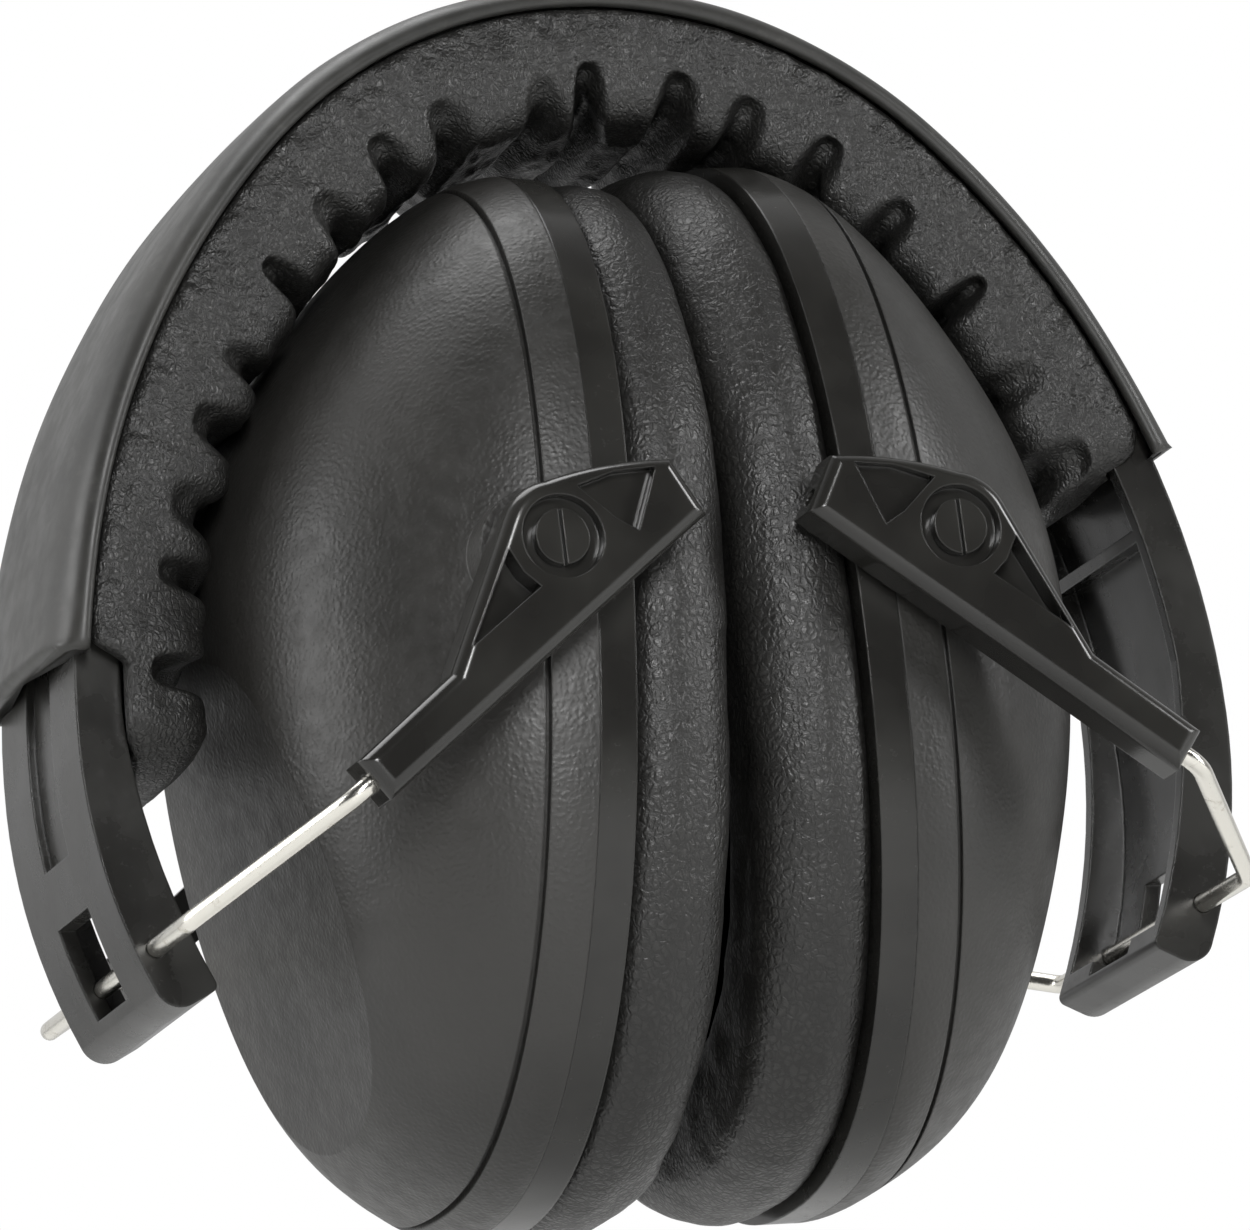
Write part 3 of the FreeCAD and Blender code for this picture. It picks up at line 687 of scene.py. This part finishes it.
# distance from the contact plane, share of the way from the ear opening to
# the rim, and how far the skin stands in from there
CUSHION_PROFILE = [
    (11.35, 1.0, 3.6),
    (11.1, 1.0, 2.1),
    (10.3, 1.0, 1.1),
    (9.0, 1.0, 0.45),
    (7.0, 1.0, 0.15),
    (5.0, 1.0, 0.5),
    (3.2, 1.0, 1.1),
    (1.7, 1.0, 2.1),
    (0.8, 1.0, 3.3),
    (0.35, 1.0, 5.0),
    (0.3, 0.5, 0.0),
    (0.4, 0.0, -5.0),
    (1.2, 0.0, -2.8),
    (2.8, 0.0, -1.1),
    (5.5, 0.0, -0.2),
    (8.5, 0.0, -0.3),
    (11.0, 0.0, -1.4),
    (11.35, 0.0, -3.2),
    (11.35, 0.5, 0.0),
]


def make_cushion(side):
    """Plump leatherette ring, flattened where the two cushions meet."""
    width = CUP_HALF_WIDTH - EAR_HALF_WIDTH
    flat = [(out, share * width - inset) for out, share, inset in CUSHION_PROFILE]
    section = closed_curve(flat, 120)
    turn = np.linspace(0, 2 * math.pi, 620, endpoint=False)[:, None]
    out = np.broadcast_to(section[:, 0], (len(turn), len(section))).copy()
    share = section[:, 1][None, :] / width
    rim_y, rim_z = cup_oval(turn, CUP_HALF_WIDTH, CUP_HALF_HEIGHT)
    ear_y, ear_z = cup_oval(turn, EAR_HALF_WIDTH, EAR_HALF_HEIGHT)
    y = ear_y + share * (rim_y - ear_y)
    z = ear_z + share * (rim_z - ear_z)
    length = np.hypot(rim_y - ear_y, rim_z - ear_z)
    way_y = (rim_y - ear_y) / length
    way_z = (rim_z - ear_z) / length
    around = turn * 46.0
    seed = 90 if side == 1 else 120
    ripple = 0.16 * layered(around / 7.5, out / 6.0, seed)
    outer = smooth_step(0.55, 0.8, share)
    facing = smooth_step(6.5, 1.0, out)
    hem = np.exp(-(((out - 10.2) / 0.9) ** 2)) * outer
    ticks = 0.5 + 0.5 * np.sin(around / 1.25 * 2 * math.pi)
    push = ripple * outer + 0.14 * ticks * hem
    y = y + way_y * push
    z = z + way_z * push
    out = out - 0.22 * layered(around / 8.0, share * 3.0, seed + 9) * facing * (
        1 - smooth_step(0.85, 1.0, share)
    )
    grid = cup_place(side, out, y, z)
    limit = 0.15
    depth = limit - side * grid[..., 0]
    squeezed = 0.5 * (depth + np.sqrt(depth**2 + 0.06))
    grid[..., 0] += side * squeezed
    name = "right_cushion_soft" if side == 1 else "left_cushion_soft"
    cushion = tube_mesh(name, grid, True)
    word = "right" if side == 1 else "left"
    dress(
        cushion,
        "cushion_vinyl",
        word + "_cup",
        word + "_ear_cushion",
        word + "_cushion_foam",
    )
    return cushion


make_cover()
make_pad()
for side in (1, -1):
    make_cushion(side)


# ------------------------------------------------------------ floor and sky


MIDDLE = Vector((0.0, 0.0, 0.06))

# place, (width, height) in metres and power of each soft light
LIGHTS = {
    "rim_strip": ((0.98, -0.62, 0.42), (0.3, 0.6), 7.0),
    "key_strip": ((-0.2, -1.08, 0.4), (0.16, 0.5), 8.0),
    "side_softbox": ((-1.1, 0.25, 0.45), (0.8, 0.9), 8.0),
    "top_softbox": ((-0.1, 0.2, 1.1), (0.7, 0.7), 6.0),
}


def add_light(name, spot, size, power):
    data = bpy.data.lights.new(name, "AREA")
    data.shape = "RECTANGLE"
    data.size, data.size_y = size
    data.energy = power
    light = bpy.data.objects.new(name, data)
    bpy.context.scene.collection.objects.link(light)
    light.location = spot
    facing = MIDDLE - Vector(spot)
    light.rotation_euler = facing.to_track_quat("-Z", "Y").to_euler()


for name, settings in LIGHTS.items():
    add_light(name, *settings)

# strength of the surroundings in front of and behind the part
SKY_FRONT = 0.045
SKY_BACK = 0.85
SKY_TURN = (-0.45, 0.7)


def make_world():
    """White behind the part, dark in front; the camera sees plain white."""
    world = bpy.data.worlds.new("studio")
    world.use_nodes = True
    tree = world.node_tree
    tree.nodes.clear()
    output = tree.nodes.new("ShaderNodeOutputWorld")
    seen = tree.nodes.new("ShaderNodeBackground")
    seen.inputs["Color"].default_value = (1.0, 1.0, 1.0, 1.0)
    seen.inputs["Strength"].default_value = 1.0
    sky = tree.nodes.new("ShaderNodeBackground")
    where = tree.nodes.new("ShaderNodeTexCoord")
    split = tree.nodes.new("ShaderNodeSeparateXYZ")
    tree.links.new(where.outputs["Generated"], split.inputs[0])
    ramp = tree.nodes.new("ShaderNodeMapRange")
    ramp.interpolation_type = "SMOOTHSTEP"
    tree.links.new(split.outputs["Y"], ramp.inputs["Value"])
    ramp.inputs["From Min"].default_value = SKY_TURN[0]
    ramp.inputs["From Max"].default_value = SKY_TURN[1]
    ramp.inputs["To Min"].default_value = SKY_FRONT
    ramp.inputs["To Max"].default_value = SKY_BACK
    tree.links.new(ramp.outputs["Result"], sky.inputs["Strength"])
    path = tree.nodes.new("ShaderNodeLightPath")
    mix = tree.nodes.new("ShaderNodeMixShader")
    tree.links.new(path.outputs["Is Camera Ray"], mix.inputs[0])
    tree.links.new(sky.outputs[0], mix.inputs[1])
    tree.links.new(seen.outputs[0], mix.inputs[2])
    tree.links.new(mix.outputs[0], output.inputs[0])
    bpy.context.scene.world = world


make_world()


# how far the floor lies under the folded part, which leaves most of the room
# that the open cups need; at full reach they hang 9 mm lower than this
FLOOR_DROP = 75.0
FLOOR_REACH = 3.0


def make_floor():
    """Pale floor under the part; it doesn't block a view from below."""
    mesh = bpy.data.meshes.new("floor")
    low = cad_box[0].z - FLOOR_DROP * MM
    turns = ((-1, -1), (1, -1), (1, 1), (-1, 1))
    corners = [(x * FLOOR_REACH, y * FLOOR_REACH, low) for x, y in turns]
    mesh.from_pydata(corners, [], [(0, 1, 2, 3)])
    floor = bpy.data.objects.new("floor", mesh)
    bpy.context.scene.collection.objects.link(floor)
    material = bpy.data.materials.new("pale_floor")
    material.use_nodes = True
    tree = material.node_tree
    surface = tree.nodes["Principled BSDF"]
    surface.inputs["Base Color"].default_value = (0.8, 0.8, 0.79, 1.0)
    surface.inputs["Roughness"].default_value = 0.7
    geometry = tree.nodes.new("ShaderNodeNewGeometry")
    clear = tree.nodes.new("ShaderNodeBsdfTransparent")
    mix = tree.nodes.new("ShaderNodeMixShader")
    tree.links.new(geometry.outputs["Backfacing"], mix.inputs[0])
    tree.links.new(surface.outputs[0], mix.inputs[1])
    tree.links.new(clear.outputs[0], mix.inputs[2])
    tree.links.new(mix.outputs[0], tree.nodes["Material Output"].inputs["Surface"])
    mesh.materials.append(material)


make_floor()

# ------------------------------------------------------------------- camera

CAMERA_LENS = 259.1
SENSOR_WIDTH = 36.0
CAMERA_SPOT = Vector((-0.3220, -0.8124, -0.1502))
CAMERA_AIM = Vector((0.0021, 0.0, 0.0618))
CAMERA_ROLL = math.radians(7.06)

camera_data = bpy.data.cameras.new("camera")
camera_data.lens = CAMERA_LENS
camera_data.sensor_width = SENSOR_WIDTH
camera_data.clip_start = 0.05
camera = bpy.data.objects.new("camera", camera_data)
bpy.context.scene.collection.objects.link(camera)
view = (CAMERA_AIM - CAMERA_SPOT).normalized()
level = view.cross(Vector((0, 0, 1))).normalized()
upright = level.cross(view)
across = level * math.cos(CAMERA_ROLL) - upright * math.sin(CAMERA_ROLL)
above = level * math.sin(CAMERA_ROLL) + upright * math.cos(CAMERA_ROLL)
turn = Matrix((across, above, -view)).transposed().to_4x4()
camera.matrix_world = Matrix.Translation(CAMERA_SPOT) @ turn
bpy.context.scene.camera = camera

scene = bpy.context.scene
scene.view_settings.view_transform = "Standard"
scene.view_settings.look = "None"
